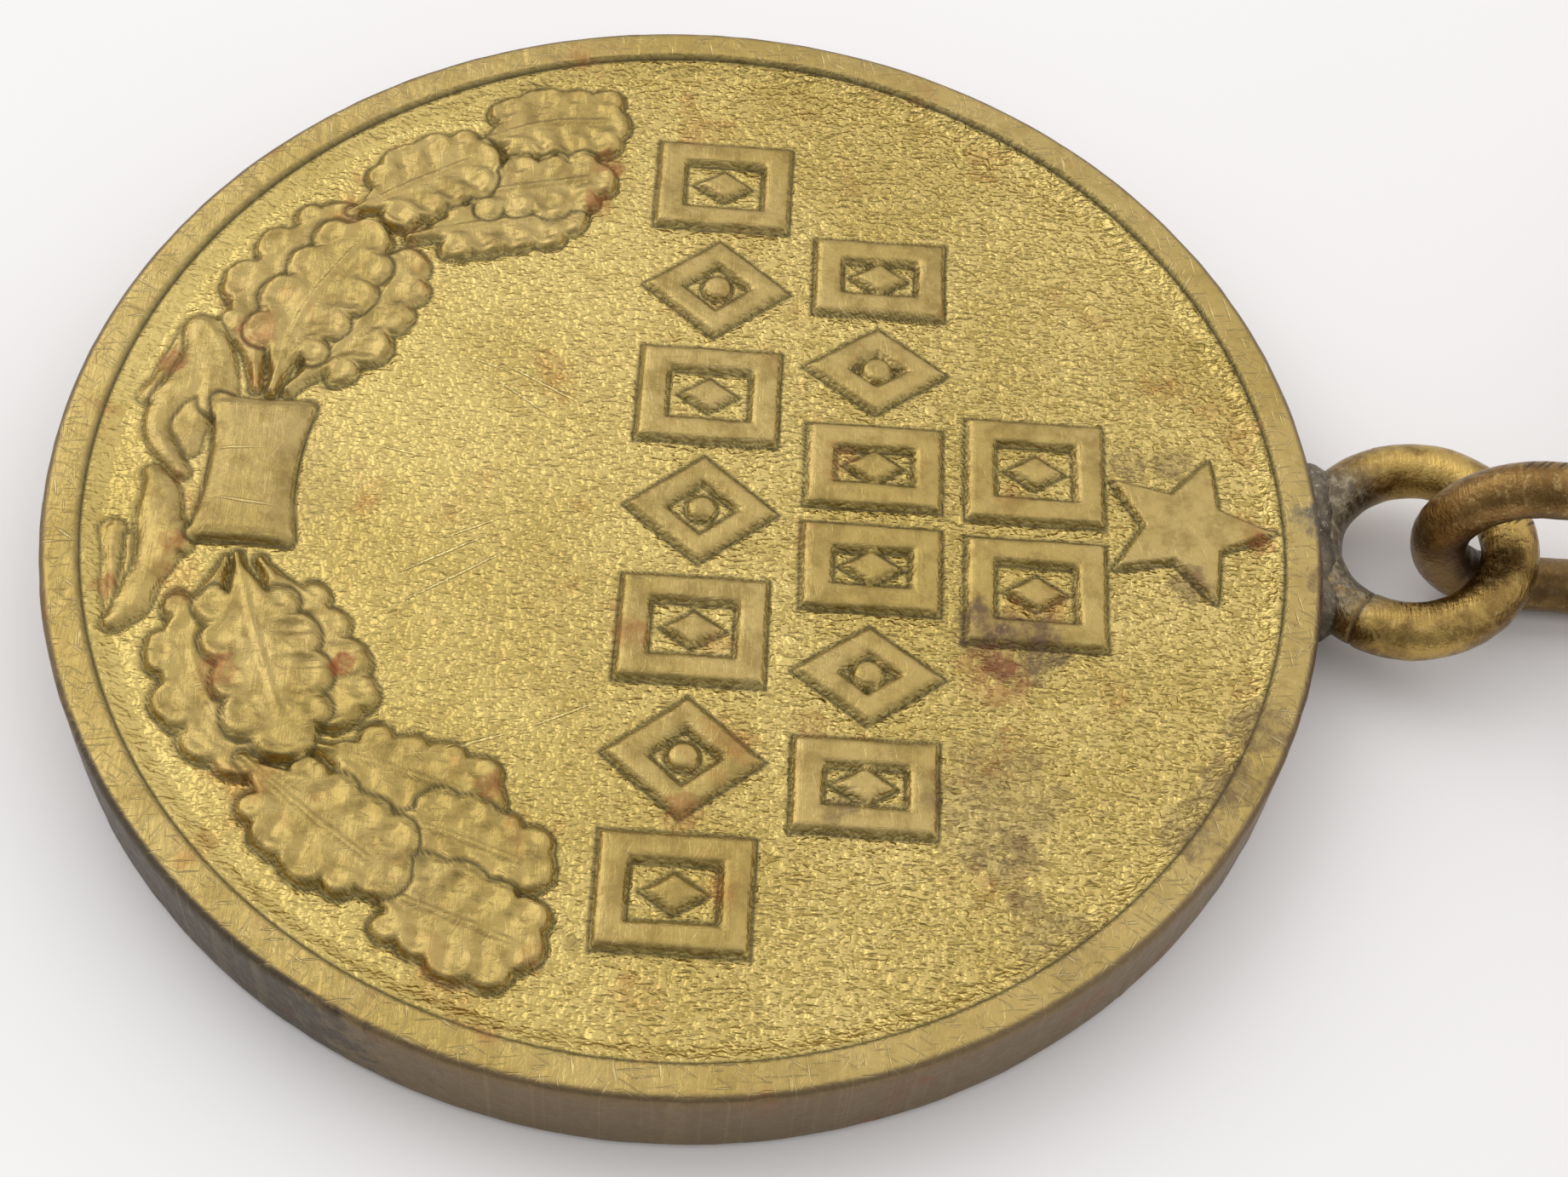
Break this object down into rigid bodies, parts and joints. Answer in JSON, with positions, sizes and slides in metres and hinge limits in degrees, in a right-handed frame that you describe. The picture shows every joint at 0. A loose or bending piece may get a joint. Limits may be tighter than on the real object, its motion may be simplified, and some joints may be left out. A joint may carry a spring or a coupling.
{
  "type": "military service medal",
  "caption": "Round struck brass medal with a wreath, star and plain raised ornament, hung by a wire eyelet and an oblong ring from a ribbon-covered five-sided mount with a brooch pin.",
  "frame": {"origin": "centre of the disc's reverse, on the surface that the medal lies on", "axes": "+Z out of the medal's face, +Y from the disc towards the mount, +X to the right of the face"},
  "size_m": [0.0473, 0.0925, 0.0089],
  "materials": {
    "struck_brass": "struck and worn, with olive and brown patina in the recesses",
    "wire_bronze": "drawn wire, toned brown",
    "solder": "dull grey solder with bright specks",
    "sheet_brass": "plain sheet, lightly tarnished",
    "ribbon_silk": "ribbed moire silk",
    "pin_steel": "drawn wire, dull"
  },
  "bodies": {
    "suspension": {"mount_plate": "sheet_brass", "ribbon": "ribbon_silk", "back_plate": "sheet_brass", "pin_hinge_bracket": "sheet_brass", "pin_hinge_rivet": "struck_brass", "pin_catch": "sheet_brass"},
    "ring": {"suspension_ring": "wire_bronze"},
    "medal": {"medal_disc": "struck_brass", "eyelet": "wire_bronze", "solder_fillet": "solder"},
    "pin": {"pin": "pin_steel"}
  },
  "joints": [
    {"name": "ring_swing", "type": "hinge", "parent": "suspension", "child": "ring", "pos_m": [-0.00045, 0.02725, 0.00282], "axis": [1, 0, 0], "range_deg": [-90, 60]},
    {"name": "medal_swing", "type": "hinge", "parent": "ring", "child": "medal", "pos_m": [-0.00045, 0.02091, 0.00242], "axis": [1, 0, 0], "range_deg": [-85, 75]},
    {"name": "pin_open", "type": "hinge", "parent": "suspension", "child": "pin", "pos_m": [-0.01325, 0.0555, 0.00177], "axis": [0, 0.9949, 0.1011], "range_deg": [0, 70]}
  ]
}
